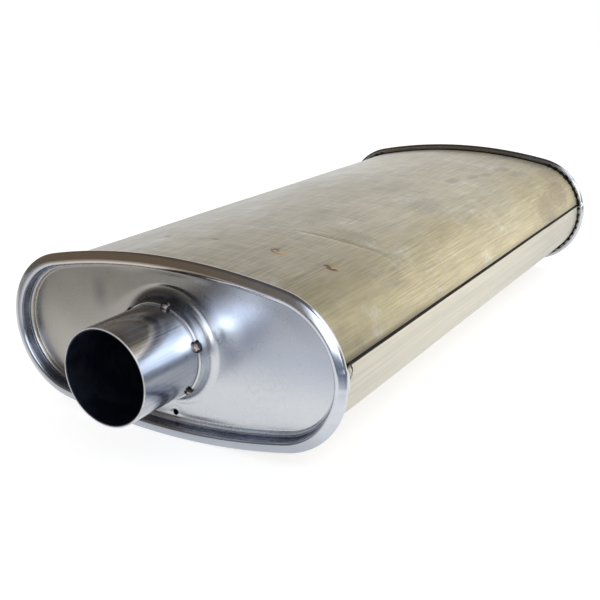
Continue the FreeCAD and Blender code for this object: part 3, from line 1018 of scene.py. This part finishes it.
@dataclass(frozen=True)
class EndCap(Fitting):
    """A stamped end cap: rolled rim, stepped wall, ledge, plate with a drain hole, and a collar."""

    step_depth: float = 6.8
    plate_depth: float = 9.8
    wall_bend: float = 0.5
    plate_margin: float = 0.6
    wall_top: float = 0.7
    wall_inset: float = 1.3
    wall_past_step: float = 0.4
    rim_before_step: float = 0.8
    collar_bend: float = 6.0
    collar_radius: float = 30.75
    edge_ease: float = 0.8
    edge_share: float = 0.3
    drain_radius: float = 2.0
    drain_drop: float = 45.9
    drain_segments: int = 24
    cutter_length: float = 8.0
    plate_rings: int = 26
    plate_ring_skip: int = 4
    seam_swell: float = 0.4
    hook_shift: float = 1.1
    sharp: float = 50.0
    spacing: float = 3.0
    fine: tuple[Fine, ...] = (Fine(-158.3, 9.0, 1.0), Fine(0.0, 14.0, 1.2))

    def rim_line(self) -> SheetLine:
        """The rim's middle line, from the hook's cut edge to the plate."""
        body = self.body
        sheet = body.cap_sheet
        corner = body.lip_corner
        roll = (body.rim_width - sheet) / 2
        rise, reach = body.lip_bend + body.shell_sheet / 2, body.flange_length
        wall = body.rim_stand + body.shell_sheet + body.layer_gap + sheet / 2
        bend = wall - corner[0]
        radius = self.wall_bend + sheet / 2
        top = self.step_depth + sheet / 2 - radius
        step = wall + 2 * radius
        plate = self.plate_depth + sheet / 2
        quarter = math.pi / 2
        line = SheetLine(sheet)
        line.run(body.on_flange(rise - roll, reach - body.hook_length), body.on_flange(rise - roll, reach))
        line.bend(body.on_flange(rise, reach), roll, quarter - body.lean, math.pi)
        line.run(body.on_flange(bend, reach), body.on_flange(bend, 0.0))
        line.bend(corner, bend, -quarter - body.lean, quarter + body.lean)
        line.run((wall, corner[1]), (wall, top))
        line.bend((wall + radius, top), radius, math.pi, -quarter)
        line.bend((wall + radius, top + 2 * radius), radius, -quarter, quarter)
        line.run((step, top + 2 * radius), (step, plate - radius))
        line.bend((step + radius, plate - radius), radius, math.pi, -quarter)
        line.run((step + radius, plate), (step + radius + self.plate_margin, plate))
        return line

    def collar_line(self) -> SheetLine:
        """The collar's middle line, from the plate to its cut edge, as radius and depth."""
        sheet = self.body.cap_sheet
        middle = self.collar_radius + sheet / 2
        radius = self.collar_bend + sheet / 2
        plate = self.plate_depth + sheet / 2
        line = SheetLine(sheet)
        line.bend((middle + radius, plate - radius), radius, math.pi / 2, math.pi / 2)
        line.run((middle, plate - radius), (middle, -self.body.collar_proud))
        return line

    def loop(self) -> list[tuple[Zone, float, float]]:
        """Every point of the cap's closed section, front side first."""
        rings = [number / self.plate_rings for number in range(1, self.plate_rings)]
        rim, collar = self.rim_line(), self.collar_line()
        back = self.plate_depth + self.body.cap_sheet
        outside = collar.side(1.0)
        (edge, depth), ease = outside.pop(), self.edge_ease
        between = self.edge_share * ease
        outside += [(edge, depth + ease), (edge - between, depth + between), (edge - ease, depth)]
        stretches = (
            (Zone.RIM, rim.side(-1.0)),
            (Zone.PLATE, [(share, self.plate_depth) for share in rings]),
            (Zone.COLLAR, outside + collar.side(-1.0)[::-1]),
            (Zone.PLATE, [(share, back) for share in reversed(rings[:: self.plate_ring_skip])]),
            (Zone.RIM, rim.side(1.0)[::-1]),
        )
        return [(zone, a, b) for zone, spots in stretches for a, b in spots]

    def zones(self, points: Sequence[tuple[Zone, float, float]]) -> list[int]:
        """Material of each step along the section: plate 0, rim 1, cut edge 2 or wall 3, whose darker finish
        is painted shade.
        """
        found = []
        for here, after in zip(points, [*points[1:], points[0]]):
            material = 0
            if here[0] is Zone.RIM and after[0] is Zone.RIM:
                shallow, deep = sorted((here[2], after[2]))
                inside = here[1] > self.body.rim_width + self.wall_inset
                if here is points[-1]:
                    material = 2
                elif inside and shallow > self.wall_top and deep < self.step_depth + self.wall_past_step:
                    material = 3
                elif shallow < self.step_depth - self.rim_before_step:
                    material = 1
            elif here[0] is Zone.COLLAR and after[0] is Zone.COLLAR:
                material = 2 if here[2] == after[2] == -self.body.collar_proud else 0
            found.append(material)
        return found

    def build(self, palette: Palette) -> Piece:
        """Makes the cap and lets it stand for its solid."""
        body = self.body
        ring = Outline(body).walk(self.spacing, self.fine)
        points = self.loop()
        seam = smooth(ring.along, -11.5, -9.5) * (1 - smooth(ring.along, -0.5, 1.2))
        swell = self.seam_swell * (seam - 1) * bump(ring.z, 0.0, 30.0) * (ring.x > 0)
        first_plate = [point[0] for point in points].index(Zone.PLATE)
        edge_x, edge_z = ring.moved(body.rim_stand - points[first_plate - 1][1])
        away = np.hypot(edge_x - self.place, edge_z)
        turn_x, turn_z = (edge_x - self.place) / away, edge_z / away
        foot = self.collar_line().side(1.0)[0][0]
        columns = []
        for zone, a, b in points:
            if zone is Zone.RIM:
                x, z = ring.moved(body.rim_stand - a + swell * smooth(9.0 - a, 0.0, 4.0))
                deep = b + self.hook_shift * seam * smooth(b, 2.0, 4.4) * smooth(5.0 - a, 0.0, 0.2)
            elif zone is Zone.PLATE:
                x = edge_x + (self.place + foot * turn_x - edge_x) * a
                z = edge_z + (foot * turn_z - edge_z) * a
                deep = b + self.unevenness(x, z, a)
            else:
                x, z, deep = self.place + a * turn_x, a * turn_z, b
            columns.append(body.world(x, deep, z, self.end))
        materials = [palette[word] for word in ("plate", "rim", "cut", "wall")]
        grid = np.stack(columns, axis=1)
        piece = torus(self.word + "_cap_skin", grid, materials, self.zones(points), self.sharp)
        self.pierce(piece)
        return settle(piece, "cap_steel", self.word + "_cap")

    def unevenness(self, x: np.ndarray, z: np.ndarray, share: float) -> np.ndarray:
        """How far the plate lies behind its plain depth, at a share of the way in to the collar."""
        ease = min(1.0, 5 * share) * min(1.0, 5 * (1 - share))
        # Slow waves of the plate, then the punched hole's dent and the ridge round it
        waves = 0.22 * np.sin(x / 19.0 + 0.7) * np.cos(z / 23.0 + 0.4) + 0.12 * np.sin((x + z) / 11.0)
        hole = np.hypot(x, z + self.drain_drop)
        dent = 0.5 * bump(hole, 0.0, 4.2) - 0.35 * bump(hole, 2.6, 0.8)
        return (waves - 0.5 * share) * ease + dent * min(1.0, 12 * share)

    def pierce(self, piece: Piece) -> None:
        """Cuts the drain hole through the plate."""
        y = self.end.value * (self.body.length / 2 - self.plate_depth) * MM
        place = Vector((0.0, y, (self.body.centre_height - self.drain_drop) * MM))
        mesh = turned(
            "drain_cutter",
            bmesh.ops.create_cone,
            cap_ends=True,
            segments=self.drain_segments,
            radius1=self.drain_radius * MM,
            radius2=self.drain_radius * MM,
            depth=self.cutter_length * MM,
            matrix=Matrix.Translation(place) @ Matrix.Rotation(math.pi / 2, 4, "X"),
        )
        cutter = linked("drain_cutter", mesh)
        cut = piece.modifiers.new("drain", "BOOLEAN")
        cut.operation = "DIFFERENCE"
        cut.solver = "EXACT"
        cut.object = cutter
        baked(piece)
        bpy.data.objects.remove(cutter)


@dataclass(frozen=True)
class Neck(Fitting):
    """A slip-on neck, from its mouth to the swaged tail that holds a core tube."""

    bore: float = 29.1
    wall: float = 1.5
    proud: float = 51.7
    seat: float = 13.3
    step: float = 1.5
    tail: float = 12.0
    tail_bore: float = 28.675
    waist: float = 20.0
    ease: float = 0.2
    segments: int = 128

    def profile(self) -> tuple[Spots, list[int]]:
        """The closed section as radius and depth, with the material of each step: wall, bore or cut edge."""
        def half(bore: float) -> Spots:
            """One side of the wall, from the mouth to the tail's end."""
            tail, start = self.tail_bore + bore - self.bore, self.seat + self.step
            mouth = [(bore, self.ease - self.proud), (bore, -self.waist), (bore, self.seat)]
            return [*mouth, (tail, start), (tail, start + self.tail)]

        outer = self.bore + self.wall
        skin, inside = half(outer), half(self.bore)[::-1]
        mouth = [(self.bore + 3 * self.ease, -self.proud), (outer - self.ease, -self.proud)]
        return skin + inside + mouth, [0] * len(skin) + [1] * len(inside) + [2] * len(mouth)

    def build(self, palette: Palette) -> Piece:
        """Makes the neck and lets it stand for its solid."""
        spots, zones = self.profile()
        turn = np.linspace(0.0, 2 * math.pi, self.segments, endpoint=False)[:, None]
        reach, deep = np.array(spots).T[:, None, :]
        grid = self.body.world(self.place + reach * np.cos(turn), deep, reach * np.sin(turn), self.end)
        materials = [palette[word] for word in ("neck", "bore", "cut")]
        piece = torus(self.word + "_neck_skin", grid, materials, zones)
        return settle(piece, "neck_steel", self.word + "_neck")


# Repeated details grown by node trees


@dataclass(frozen=True)
class Bead:
    """How repeated bodies look. The size is half of theirs outwards, across and along."""

    size: Triple
    spread: float
    lump_height: float
    lump_scale: float
    seed: int = 7


class Repeat:
    """Small bodies set on points by a node tree."""

    def __init__(self, name: str) -> None:
        self.tree = bpy.data.node_groups.new(name, "GeometryNodeTree")
        self.sockets = {}
        face = self.tree.interface
        face.new_socket("Geometry", in_out="OUTPUT", socket_type="NodeSocketGeometry")
        for label, kind in (
            ("Geometry", "Geometry"),
            ("Size", "Vector"),
            ("Spread", "Float"),
            ("Lump Height", "Float"),
            ("Lump Scale", "Float"),
            ("Seed", "Int"),
            ("Material", "Material"),
        ):
            made = face.new_socket(label, in_out="INPUT", socket_type="NodeSocket" + kind)
            self.sockets[label] = made.identifier
        self.grow()

    def grow(self) -> None:
        """Builds the tree: a round body on each point, turned outwards, sized at random and made lumpy."""
        graph = Graph(self.tree)
        given = graph.add("NodeGroupInput").outputs
        ball = graph.add("GeometryNodeMeshIcoSphere", Radius=1.0, Subdivisions=BALL_CUTS)
        settings = {"data_type": "FLOAT_VECTOR"}
        outwards = graph.add("GeometryNodeInputNamedAttribute", settings, Name="outwards")
        facing = graph.add("FunctionNodeAlignRotationToVector", {"axis": "X"}, Vector=outwards.outputs[0])
        chance = graph.add("FunctionNodeRandomValue", {"data_type": "FLOAT"}, Seed=given["Seed"])
        spread = Value(graph, given["Spread"])
        graph.feed(chance.inputs[2], 1.0 - spread)
        graph.feed(chance.inputs[3], 1.0 + spread)
        placed = graph.add(
            "GeometryNodeInstanceOnPoints",
            Points=graph.add("GeometryNodeMeshToPoints", Mesh=given["Geometry"]).outputs[0],
            Instance=ball.outputs[0],
            Rotation=facing.outputs[0],
            Scale=Value(graph, given["Size"]).scaled(chance.outputs[1]),
        )
        real = graph.add("GeometryNodeRealizeInstances", Geometry=placed.outputs[0])
        spot = graph.add("GeometryNodeInputPosition").outputs[0]
        lumps = graph.add("ShaderNodeTexNoise", Vector=spot, Scale=given["Lump Scale"], Detail=3.0)
        height = (graph.out(lumps) - 0.5) * given["Lump Height"]
        push = graph.out(graph.add("GeometryNodeInputNormal")).scaled(height)
        lumpy = graph.add("GeometryNodeSetPosition", Geometry=real.outputs[0], Offset=push)
        eased = graph.add("GeometryNodeSetShadeSmooth", Geometry=lumpy.outputs[0])
        painted = graph.add("GeometryNodeSetMaterial", Geometry=eased.outputs[0], Material=given["Material"])
        graph.add("NodeGroupOutput", Geometry=painted.outputs[0])

    def plant(self, name: str, places: np.ndarray, outwards: np.ndarray, bead: Bead,
              material: bpy.types.Material) -> Piece:
        """Sets bodies on places.

        Args:
            name: Name of the piece.
            places: Points in metres.
            outwards: The direction that each body's own x axis takes.
            bead: Sizes of the bodies.
            material: Material of the bodies.

        Returns:
            A plain mesh object.
        """
        mesh = formed(name, places.tolist())
        layer = mesh.attributes.new("outwards", "FLOAT_VECTOR", "POINT")
        layer.data.foreach_set("vector", outwards.astype(np.float32).ravel())
        piece = linked(name, mesh)
        made = piece.modifiers.new(self.tree.name, "NODES")
        made.node_group = self.tree
        values = {
            "Size": tuple(value * MM for value in bead.size),
            "Spread": bead.spread,
            "Lump Height": bead.lump_height * MM,
            "Lump Scale": bead.lump_scale,
            "Seed": bead.seed,
            "Material": material,
        }
        for label, value in values.items():
            made[self.sockets[label]] = value
        return baked(piece)


@dataclass(frozen=True)
class TackWelds(Fitting):
    """Weld beads between a collar's cut edge and its neck."""

    ring: float = 31.4
    sunk: float = 0.7
    count: int = 6
    first_angle: float = 15.0
    burn: Bead = Bead((1.9, 2.6, 3.9), 0.12, 3.4, 330.0)
    nugget: Bead = Bead((1.9, 3.1, 2.6), 0.2, 1.4, 500.0)

    def build(self, repeat: Repeat, palette: Palette) -> list[Piece]:
        """Makes the burnt beads, which stand for their solids, and the bright nuggets in them."""
        turn = np.radians(self.first_angle + np.arange(self.count) * 360.0 / self.count)
        outwards = np.stack([np.cos(turn), 0 * turn, np.sin(turn)], axis=-1)
        x, z = self.place + self.ring * np.cos(turn), self.ring * np.sin(turn)
        places = self.body.world(x, self.sunk - self.body.collar_proud, z, self.end)
        name = self.word + "_tack_beads"
        burns = repeat.plant(name, places, outwards, self.burn, palette["burn"])
        nuggets = repeat.plant(name + "_nuggets", places, outwards, self.nugget, palette["weld"])
        return [settle(burns, "weld_metal", self.word + "_tack_welds"), settle(nuggets, "weld_metal")]


@dataclass(frozen=True)
class CrimpTeeth(Fitting):
    """Pressed ticks between a rim's hooked edge and the shell, at both sides, made near black as painted
    shade.
    """

    pitch: float = 6.6
    reach: float = 6.9
    stand: float = 0.1
    tick: Bead = Bead((0.35, 1.5, 1.7), 0.35, 0.2, 900.0)

    def build(self, repeat: Repeat, palette: Palette) -> list[Piece]:
        """Sets one tick every pitch along the sides of the rim."""
        outline = Outline(self.body)
        count = round(outline.length() / self.pitch)
        ring = outline.at((np.arange(count) + 0.5) * outline.length() / count)
        ring = outline.at(ring.along[np.abs(ring.x) > self.body.side_start])
        x, z = ring.moved(self.stand)
        places = self.body.world(x, self.reach, z, self.end)
        name = self.word + "_crimp_teeth"
        return [settle(repeat.plant(name, places, ring.outwards(), self.tick, palette["gap"]), "cap_steel")]


@dataclass(frozen=True)
class SeamBurr:
    """The crumpled end of the lock seam beside the near rim: pale lumps on a near-black bed of painted shade.

    Each kind's place is its outward stand and its shift in depth.
    """

    body: Body
    along: tuple[float, ...] = (-1.6, -3.6, -5.8, -7.6)
    depth: tuple[float, ...] = (16.2, 17.2, 16.6, 15.0)
    bed: Bead = Bead((0.5, 1.7, 2.2), 0.2, 0.5, 500.0)
    lump: Bead = Bead((0.9, 1.2, 1.6), 0.2, 0.5, 500.0)
    bed_place: tuple[float, float] = (0.1, 0.5)
    lump_place: tuple[float, float] = (0.4, -1.3)

    def build(self, repeat: Repeat, palette: Palette) -> list[Piece]:
        """Makes the bed and the lumps."""
        ring = Outline(self.body).at(np.array(self.along))
        made = []
        for name, bead, word, (stand, shift) in (
            ("seam_burr_bed", self.bed, "gap", self.bed_place),
            ("seam_burr", self.lump, "shell", self.lump_place),
        ):
            x, z = ring.moved(stand)
            places = self.body.world(x, np.array(self.depth) + shift, z, End.INLET)
            piece = repeat.plant(name, places, ring.outwards(), bead, palette[word])
            made.append(settle(piece, "shell_steel"))
        return made


@dataclass(frozen=True)
class Core:
    """The perforated tubes, baffles and tube welds inside, which keep their solids."""

    tubes: tuple[str, ...] = ("inlet_tube", "return_tube", "outlet_tube")
    baffles: tuple[str, ...] = ("front_baffle", "middle_baffle", "rear_baffle")

    def dress(self, nodes: dict[str, Piece], palette: Palette) -> int:
        """Gives each inner solid its material and returns how many were dressed."""
        words = {name: "core" for name in self.tubes + self.baffles}
        words |= {name + "_welds": "weld" for name in self.tubes}
        for name, word in words.items():
            for slot in nodes[name].material_slots:
                slot.material = palette[word]
        return len(words)


# Studio


def direction(azimuth: float, elevation: float) -> Vector:
    """The way out to a place of the room. Azimuth 0 is the front, -Y, and 90 the right, +X, in degrees."""
    turn, rise = math.radians(azimuth), math.radians(elevation)
    return Vector((math.sin(turn) * math.cos(rise), -math.cos(turn) * math.cos(rise), math.sin(rise)))


@dataclass(frozen=True)
class Softbox:
    """A square area lamp, in metres and watts."""

    name: str
    place: Triple
    target: Triple
    size: float
    power: float
    colour: Colour

    def build(self) -> None:
        """Adds the lamp, facing its target."""
        lamp = bpy.data.lights.new(self.name, "AREA")
        lamp.shape = "RECTANGLE"
        lamp.size = lamp.size_y = self.size
        lamp.energy = self.power
        lamp.color = self.colour
        holder = linked(self.name, lamp)
        holder.location = self.place
        aim = Vector(self.target) - Vector(self.place)
        holder.rotation_euler = aim.to_track_quat("-Z", "Y").to_euler()


@dataclass(frozen=True)
class Panel:
    """A soft-edged bright or dark area of the room, as metal mirrors it. Angles are degrees."""

    azimuth: float
    elevation: float
    half_width: float
    half_height: float
    edge: float
    tone: Colour

    def mask(self, way: Value) -> Value:
        """1 on the panel and 0 off it, by the direction from the middle of the room."""
        ahead, right = direction(self.azimuth, self.elevation), direction(self.azimuth + 90.0, 0.0)
        front = way.towards(ahead)
        mask = front.step(0.0, 0.1)
        for axis, half in ((right, self.half_width), (ahead.cross(right), self.half_height)):
            low, high = (math.tan(math.radians(angle)) for angle in (half, half + self.edge))
            mask *= abs(way.towards(axis) / front).step(low, high, 1.0, 0.0)
        return mask


@dataclass(frozen=True)
class Flag:
    """A cloth that only reflections see, so that metal gets the contrast of a room."""

    name: str
    size: float

    def mesh(self) -> Mesh:
        """The flag's form."""
        raise NotImplementedError

    def paint(self, graph: Graph, place: Value) -> tuple[object, Value]:
        """How dense the flag is, from 0 to 1, and its tone, by its own coordinates in metres."""
        raise NotImplementedError

    def build(self) -> None:
        """Hangs the flag where only glossy rays meet it."""
        made = bpy.data.materials.new(self.name)
        graph = Graph.of(made)
        cover, tone = self.paint(graph, graph.out(graph.add("ShaderNodeTexCoord"), "Object"))
        cloth = graph.out(graph.add("ShaderNodeEmission", Color=tone, Strength=1.0))
        clear = graph.out(graph.add("ShaderNodeBsdfTransparent"))
        both = graph.out(graph.add("ShaderNodeMixShader", None, cover, clear, cloth))
        graph.add("ShaderNodeOutputMaterial", Surface=both)
        mesh = self.mesh()
        mesh.materials.append(made)
        piece = linked(self.name, mesh)
        for ray in ("camera", "diffuse", "transmission", "shadow"):
            setattr(piece, "visible_" + ray, False)


@dataclass(frozen=True)
class Tent(Flag):
    """A dome of cloth with lit panels."""

    low: Colour = (0.20, 0.17, 0.14)
    top: Colour = (0.10, 0.10, 0.11)
    panels: tuple[Panel, ...] = (
        Panel(180.0, 3.0, 58.0, 20.0, 12.0, (1.25, 1.23, 1.18)),
        Panel(95.0, 40.0, 25.0, 14.0, 14.0, (1.9, 1.95, 2.0)),
        Panel(29.0, 17.0, 17.0, 13.0, 11.0, (2.5, 2.7, 3.0)),
    )

    def mesh(self) -> Mesh:
        """A ball round the object."""
        return turned(self.name, bmesh.ops.create_icosphere, subdivisions=BALL_CUTS, radius=self.size)

    def paint(self, graph: Graph, place: Value) -> tuple[object, Value]:
        """Dark brown low down, darker overhead, with the panels over it."""
        way = graph.out(graph.add("ShaderNodeVectorMath", {"operation": "NORMALIZE"}, place))
        tone = graph.mix(graph.axes(way)[2].step(0.45, 0.9), self.low, self.top)
        return 1.0, graph.layered(tone, [(panel.mask(way), panel.tone) for panel in self.panels])


@dataclass(frozen=True)
class GroundCloth(Flag):
    """Cloth on the floor: brown far in front at the left, dark blue in front and beside at the right."""

    left: Colour = (0.16, 0.15, 0.13)
    right: Colour = (0.10, 0.13, 0.20)
    lift: float = 0.0005

    def mesh(self) -> Mesh:
        """A flat sheet just above the floor."""
        return square(self.name, self.size, self.lift)

    def paint(self, graph: Graph, place: Value) -> tuple[object, Value]:
        """Clear near the object, denser away from it."""
        x, y, _ = graph.axes(place)
        front = (y + x * 0.45).step(-0.36, -0.62, 0.0, 0.70)
        corner = x.step(0.02, 0.12) * (x * 0.7 - y * 0.7).step(0.32, 0.46, 0.0, 0.95)
        return graph.math("MAXIMUM", front, corner), graph.mix(x.step(-0.02, 0.12), self.left, self.right)


@dataclass(frozen=True)
class Studio:
    """Pale floor, plain world, a soft lamp, dark cloths and the camera's background."""

    floor_size: float = 8.0
    paper: Colour = (0.42, 0.42, 0.42)
    fill: float = 0.75
    glow: float = 0.77
    parts: tuple[Softbox | Flag, ...] = (
        Softbox(
            "key_box",
            place=(0.95, 0.30, 1.30),
            target=(0.0, 0.0, 0.06),
            size=0.6,
            power=3.4,
            colour=(0.93, 0.96, 1.0),
        ),
        Tent("tent_cloth", size=3.0),
        GroundCloth("ground_cloth", size=4.0),
    )

    def build(self) -> None:
        """Sets the whole studio up."""
        self.floor()
        self.world()
        for part in self.parts:
            part.build()
        bpy.context.scene.view_settings.view_transform = "Standard"

    @staticmethod
    def seen(graph: Graph) -> Value:
        """Mask of the rays that show the background: the camera's, glossy and transmission ones."""
        path = graph.add("ShaderNodeLightPath")
        rays = ("Camera", "Glossy", "Transmission")
        camera, glossy, passing = (graph.out(path, f"Is {ray} Ray") for ray in rays)
        return graph.math("MAXIMUM", camera, graph.math("MAXIMUM", glossy, passing))

    def floor(self) -> None:
        """A pale floor that reads white and keeps the object's shadow."""
        made = bpy.data.materials.new("floor_paper")
        graph = Graph.of(made)
        paper = graph.out(graph.add("ShaderNodeBsdfDiffuse", Color=self.paper))
        light = graph.out(graph.add("ShaderNodeEmission", Strength=self.seen(graph) * self.glow))
        both = graph.out(graph.add("ShaderNodeAddShader", None, paper, light))
        graph.add("ShaderNodeOutputMaterial", Surface=both)
        mesh = square("floor", self.floor_size, 0.0)
        mesh.materials.append(made)
        linked("floor", mesh)

    def world(self) -> None:
        """White where it is seen or mirrored, and dimmer in the light that it gives."""
        made = bpy.data.worlds.new("studio_world")
        graph = Graph.of(made)
        bpy.context.scene.world = made
        strength = self.seen(graph).step(0.0, 1.0, self.fill, 1.0)
        light = graph.out(graph.add("ShaderNodeBackground", Color=(1.0, 1.0, 1.0), Strength=strength))
        graph.add("ShaderNodeOutputWorld", Surface=light)


@dataclass(frozen=True)
class ViewCamera:
    """The view's camera, fitted to the object's outline."""

    place: Triple = (353.2, -661.6, 262.3)
    azimuth: float = 31.36
    elevation: float = 17.78
    roll: float = -1.27
    lens: float = 55.54
    sensor: float = 36.0
    nearest: float = 0.01

    def build(self) -> None:
        """Adds the camera and makes it the scene's own."""
        back = direction(self.azimuth, self.elevation)
        roll = math.radians(self.roll)
        right = (-back).cross(Vector((0, 0, 1))).normalized()
        up = right.cross(-back)
        right, up = right * math.cos(roll) + up * math.sin(roll), up * math.cos(roll) - right * math.sin(roll)
        lens = bpy.data.cameras.new("view_camera")
        lens.lens = self.lens
        lens.sensor_width = self.sensor
        lens.clip_start = self.nearest
        holder = linked("view_camera", lens)
        pose = Matrix((right, up, back)).transposed().to_4x4()
        holder.matrix_world = Matrix.Translation(Vector(self.place) * MM) @ pose
        bpy.context.scene.camera = holder


def main() -> None:
    """Builds the pieces in order and reports them."""
    logging.basicConfig(level=logging.INFO, format="%(name)s: %(message)s")
    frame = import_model()
    body = Body()
    palette = mixed()
    ViewCamera().build()
    ends = ((End.INLET, 0.0), (End.OUTLET, OUTLET_PLACE))
    pieces = [Shell(body).build(palette)]
    for end, place in ends:
        pieces += [kind(body, end, place).build(palette) for kind in (EndCap, Neck)]
    beads = Repeat("weld_beads")
    for end, place in ends:
        for kind in (TackWelds, CrimpTeeth):
            pieces += kind(body, end, place).build(beads, palette)
    pieces += SeamBurr(body).build(beads, palette)
    dressed = Core().dress(frame["nodes"], palette)
    Studio().build()
    for piece in pieces:
        LOG.info("%s: %d faces", piece.name, len(piece.data.polygons))
    LOG.info("inner solids dressed: %d", dressed)


if __name__ == "__main__":
    main()
